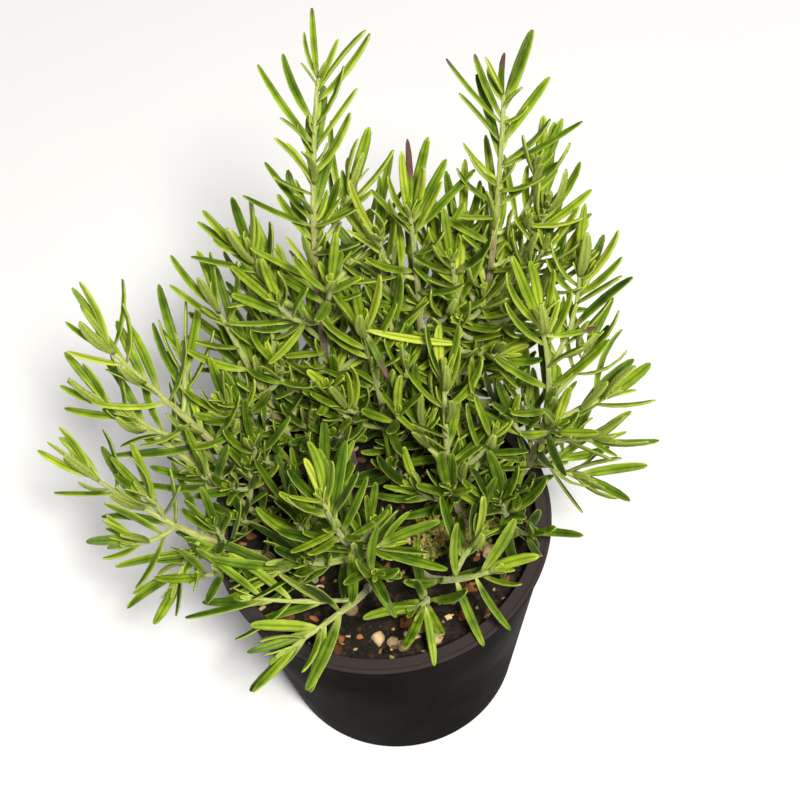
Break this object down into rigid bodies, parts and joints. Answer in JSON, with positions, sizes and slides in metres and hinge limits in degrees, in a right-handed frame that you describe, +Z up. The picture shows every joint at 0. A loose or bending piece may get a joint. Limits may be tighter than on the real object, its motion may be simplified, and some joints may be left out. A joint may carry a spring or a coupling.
{
  "type": "potted rosemary plant",
  "caption": "Bushy rosemary plant growing in a round black plastic nursery pot, with two tall leafy stems and many side shoots.",
  "frame": {"origin": "centre of the pot's base, on the surface it stands on", "axes": "+Z up along the pot's axis, -Y towards the plant's open front, +X to its right"},
  "size_m": [0.2288, 0.168, 0.3103],
  "materials": {
    "pot_plastic": "black injection-moulded polypropylene, satin, with a faint moulding grain",
    "potting_mix": "damp dark peat and composted bark with pale bark, grit and a little moss",
    "rosemary_stem": "square young stem, brown and woody below, pale green with white down above",
    "rosemary_leaf": "leathery needle leaf, green and warty above with a groove and pale rolled edges, white felt below"
  },
  "bodies": {
    "root": {"pot": "pot_plastic", "shoot_01_tall_left": "rosemary_leaf", "shoot_02_tall_left": "rosemary_leaf", "shoot_03_tall_left": "rosemary_leaf", "shoot_04_tall_right": "rosemary_leaf", "shoot_05_tall_right": "rosemary_leaf", "shoot_06_tall_right": "rosemary_leaf", "shoot_07_tall_right": "rosemary_leaf", "shoot_08_tall_right": "rosemary_leaf", "shoot_09_middle": "rosemary_leaf", "shoot_10_middle": "rosemary_leaf", "shoot_11_middle": "rosemary_leaf", "shoot_12_centre_right": "rosemary_leaf", "shoot_13_centre_right": "rosemary_leaf", "shoot_14_right": "rosemary_leaf", "shoot_15_right": "rosemary_leaf", "shoot_16_right": "rosemary_leaf", "shoot_17_right": "rosemary_leaf", "shoot_18_right": "rosemary_leaf", "shoot_19_woody": "rosemary_leaf", "shoot_20_woody": "rosemary_leaf", "shoot_21_woody": "rosemary_leaf", "shoot_22_left_mid": "rosemary_leaf", "shoot_23_left_mid": "rosemary_leaf", "shoot_24_left_high": "rosemary_leaf", "shoot_25_left_long": "rosemary_leaf", "shoot_26_left_low": "rosemary_leaf", "shoot_27_left_low": "rosemary_leaf", "shoot_28_left_low": "rosemary_leaf", "shoot_29_viewer": "rosemary_leaf", "shoot_30_viewer": "rosemary_leaf", "shoot_31_right_front": "rosemary_leaf", "shoot_32_bottom": "rosemary_leaf", "shoot_33_front_right": "rosemary_leaf", "shoot_34_front_right": "rosemary_leaf", "shoot_35_back_left": "rosemary_leaf", "shoot_36_back_mid": "rosemary_leaf", "shoot_37_back_mid": "rosemary_leaf", "shoot_38_back_right": "rosemary_leaf", "soil": "potting_mix", "stem_back_left": "rosemary_stem", "stem_back_mid": "rosemary_stem", "stem_back_right": "rosemary_stem", "stem_bottom": "rosemary_stem", "stem_centre_right": "rosemary_stem", "stem_front_low": "rosemary_stem", "stem_front_right": "rosemary_stem", "stem_left_high": "rosemary_stem", "stem_left_inner": "rosemary_stem", "stem_left_long": "rosemary_stem", "stem_left_low": "rosemary_stem", "stem_left_mid": "rosemary_stem", "stem_middle": "rosemary_stem", "stem_right": "rosemary_stem", "stem_right_front": "rosemary_stem", "stem_small_right": "rosemary_stem", "stem_tall_left": "rosemary_stem", "stem_tall_right": "rosemary_stem", "stem_viewer": "rosemary_stem", "stem_woody": "rosemary_stem"}
  },
  "joints": []
}
